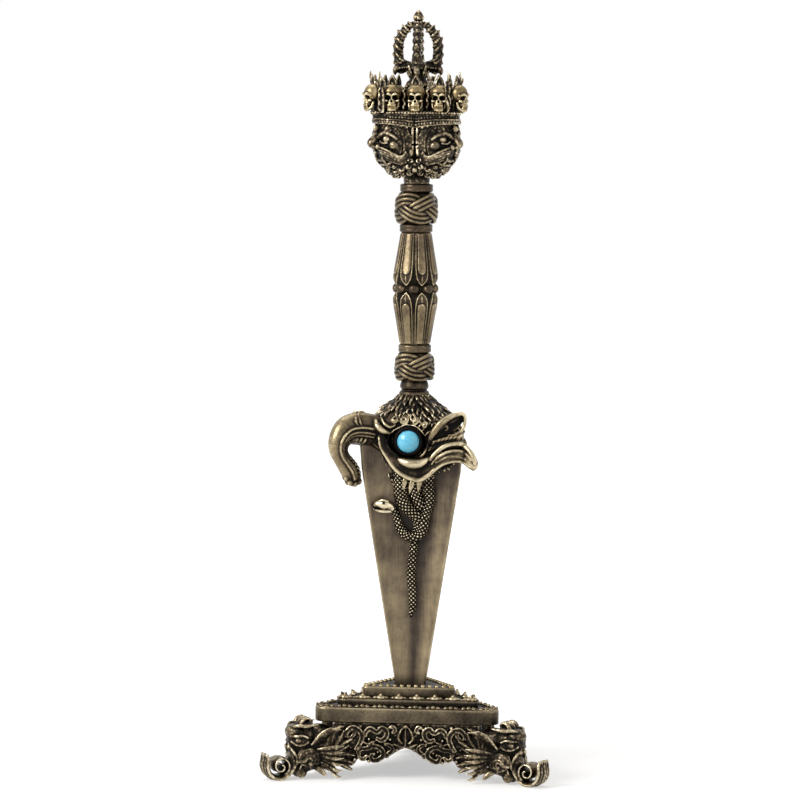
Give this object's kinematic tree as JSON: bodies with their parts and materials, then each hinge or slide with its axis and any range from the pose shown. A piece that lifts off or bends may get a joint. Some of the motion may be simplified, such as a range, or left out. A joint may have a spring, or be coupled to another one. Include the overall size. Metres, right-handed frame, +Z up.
{
  "type": "ritual dagger on stand",
  "caption": "Three-bladed ritual dagger with vajra finial, skull crown, three faces and animal-head guard, standing point down in a tiered triangular stand.",
  "frame": {"origin": "on the floor, on the vertical axis of the blade, at the centre of the circle through the three feet", "axes": "+Z up along the dagger, -Y towards the front side of the stand, between the two front feet"},
  "size_m": [0.0924, 0.0807, 0.2501],
  "materials": {
    "antique_brass": "cast, dark patina in the recesses, raised edges rubbed bright",
    "blade_brass": "cast and brushed lengthwise, satin, light patina",
    "turquoise": "polished cabochon, sky blue",
    "screw_steel": "zinc-plated, slightly dulled"
  },
  "bodies": {
    "stand": {"lower_tier": "antique_brass", "middle_tier": "antique_brass", "upper_tier": "antique_brass", "apron_front": "antique_brass", "apron_back_right": "antique_brass", "apron_back_left": "antique_brass", "foot_front_left": "antique_brass", "foot_front_right": "antique_brass", "foot_back": "antique_brass", "foot_screws": "screw_steel", "tier_screws": "screw_steel"},
    "phurba": {"blade": "blade_brass", "makara_head": "antique_brass", "eye_stone_front": "turquoise", "eye_stone_back": "turquoise", "eye_bezel_front": "antique_brass", "eye_bezel_back": "antique_brass", "snake_front": "antique_brass", "snake_back_right": "antique_brass", "snake_back_left": "antique_brass", "tie_rod": "screw_steel", "collar": "antique_brass", "lower_knot": "antique_brass", "lower_ring": "antique_brass", "lotus_grip": "antique_brass", "upper_ring": "antique_brass", "upper_knot": "antique_brass", "neck_ring": "antique_brass", "three_faced_head": "antique_brass", "skull_crown": "antique_brass", "vajra_core": "antique_brass", "vajra_prongs": "antique_brass"}
  },
  "joints": [
    {"name": "phurba_lift", "type": "slide", "parent": "stand", "child": "phurba", "axis": [0, 0, 1], "range_m": [0, 0.03]}
  ]
}
